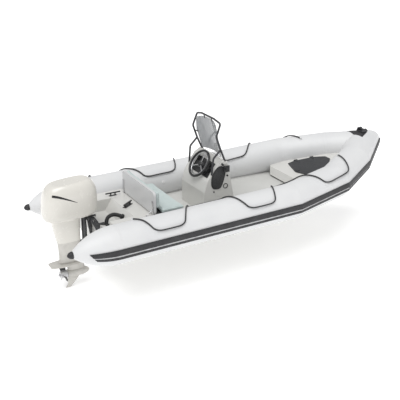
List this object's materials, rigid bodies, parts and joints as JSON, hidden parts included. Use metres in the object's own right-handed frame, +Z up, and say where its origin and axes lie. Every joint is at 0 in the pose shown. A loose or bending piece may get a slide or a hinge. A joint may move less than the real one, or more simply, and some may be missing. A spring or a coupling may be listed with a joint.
{
  "type": "rigid inflatable boat",
  "caption": "Rigid inflatable boat: air-filled collar round a V-bottom hull, steering console with screen, bench seat, bow locker and tilting, steering outboard engine.",
  "frame": {"origin": "flat underside of the keel pad, on the centre line, amidships", "axes": "+Z up, bow towards -Y, stern towards +Y, starboard -X and port +X"},
  "size_m": [2.018, 5.1184, 1.9085],
  "materials": {
    "collar_fabric": "coated woven fabric, matt white",
    "black_rubber": "matt black rubber",
    "grey_rubber": "light grey rubber",
    "black_rope": "braided black rope",
    "black_plastic": "moulded black plastic",
    "white_plastic": "moulded white plastic",
    "rail_paint": "dark grey coated tube",
    "pocket_net": "black net and webbing",
    "cable_sheath": "ribbed black sheath",
    "gelcoat_white": "white gelcoat over glass-fibre",
    "deck_grip": "non-slip gelcoat deck",
    "marine_plywood": "resin-sealed plywood",
    "charcoal_lid": "charcoal textured lid",
    "stainless": "polished stainless steel",
    "tinted_acrylic": "grey tinted acrylic",
    "seat_vinyl": "pale aqua-grey marine vinyl",
    "tank_plastic": "moulded fuel tank",
    "bracket_alloy": "dark painted cast alloy",
    "engine_shell": "cream-white gloss moulding",
    "engine_leg": "cream-grey painted cast alloy",
    "propeller_alloy": "dark painted cast propeller with a bright hub"
  },
  "bodies": {
    "hull": {"collar_aft_starboard": "collar_fabric", "collar_aft_port": "collar_fabric", "collar_bow_starboard": "collar_fabric", "collar_bow_port": "collar_fabric", "collar_baffles": "collar_fabric", "cone_caps": "black_rubber", "rub_strake_upper": "black_rubber", "rub_strake_line": "grey_rubber", "rub_strake_lower": "black_rubber", "lifelines": "black_rope", "lifeline_patches": "collar_fabric", "inflation_valves": "white_plastic", "bow_patch": "black_rubber", "bow_fairlead": "rail_paint", "hull_shell": "gelcoat_white", "hull_frames": "marine_plywood", "deck": "deck_grip", "transom_board": "gelcoat_white", "transom_fittings": "stainless", "bow_eye": "stainless", "bow_locker": "gelcoat_white", "hatch_hinges": "black_plastic", "console_shell": "gelcoat_white", "instrument_panel": "black_plastic", "gauges": "black_plastic", "helm_unit": "black_plastic", "windscreen": "tinted_acrylic", "windscreen_rail": "rail_paint", "side_pocket": "pocket_net", "control_box": "black_plastic", "console_fittings": "black_plastic", "seat_base": "gelcoat_white", "seat_hinges": "stainless", "stern_deck": "gelcoat_white", "stern_cleats": "black_plastic", "fuel_tank": "tank_plastic", "clamp_brackets": "bracket_alloy", "tilt_tube": "stainless", "deck_glands": "black_plastic", "control_cables": "cable_sheath"},
    "hatch": {"hatch_lid": "charcoal_lid"},
    "seat": {"seat_board": "black_plastic", "seat_cushion": "seat_vinyl", "backrest_shell": "gelcoat_white", "backrest_cushion": "seat_vinyl", "backrest_arms": "stainless"},
    "wheel": {"wheel_grip": "black_plastic", "wheel_spokes": "stainless"},
    "throttle": {"throttle_lever": "black_plastic"},
    "swivel": {"swivel_bracket": "bracket_alloy"},
    "ram": {"steering_ram": "stainless"},
    "engine": {"cowl_top": "engine_shell", "cowl_pan": "engine_shell", "leg_apron": "engine_shell", "midsection": "engine_leg", "gearcase": "engine_leg", "powerhead": "bracket_alloy", "steering_yoke": "bracket_alloy"},
    "propeller": {"propeller": "propeller_alloy", "propeller_shaft": "stainless"}
  },
  "joints": [
    {"name": "bow_hatch_hinge", "type": "hinge", "parent": "hull", "child": "hatch", "pos_m": [0.2412, -1.82274, 0.67583], "axis": [0.4112, 0.8939, -0.1788], "range_deg": [0, 85]},
    {"name": "seat_tilt_forward", "type": "hinge", "parent": "hull", "child": "seat", "pos_m": [0, 0.466, 0.6044], "axis": [1, 0, 0], "range_deg": [0, 65]},
    {"name": "engine_tilt", "type": "hinge", "parent": "hull", "child": "swivel", "pos_m": [0, 1.535, 0.6], "axis": [1, 0, 0], "range_deg": [0, 55]},
    {"name": "engine_steer", "type": "hinge", "parent": "swivel", "child": "engine", "pos_m": [0, 1.6, 0.45], "axis": [0, 0, 1], "range_deg": [-30, 30]},
    {"name": "steering_ram_slide", "type": "slide", "parent": "swivel", "child": "ram", "axis": [1, 0, 0], "range_m": [-0.08, 0.08]},
    {"name": "steering_wheel_turn", "type": "hinge", "parent": "hull", "child": "wheel", "pos_m": [-0.005, -0.02584, 0.97048], "axis": [0, 0.8192, 0.5735], "range_deg": [-541, 541]},
    {"name": "throttle_lever_pivot", "type": "hinge", "parent": "hull", "child": "throttle", "pos_m": [-0.345, -0.191, 0.99], "axis": [1, 0, 0], "range_deg": [-40, 60]},
    {"name": "propeller_spin", "type": "hinge", "parent": "engine", "child": "propeller", "pos_m": [0, 1.89, -0.105], "axis": [0, 1, 0], "continuous": true}
  ],
  "couplings": [
    {"joint": "steering_ram_slide", "follows": "engine_steer", "m_per_rad": 0.15},
    {"joint": "steering_wheel_turn", "follows": "engine_steer", "ratio": -18}
  ]
}
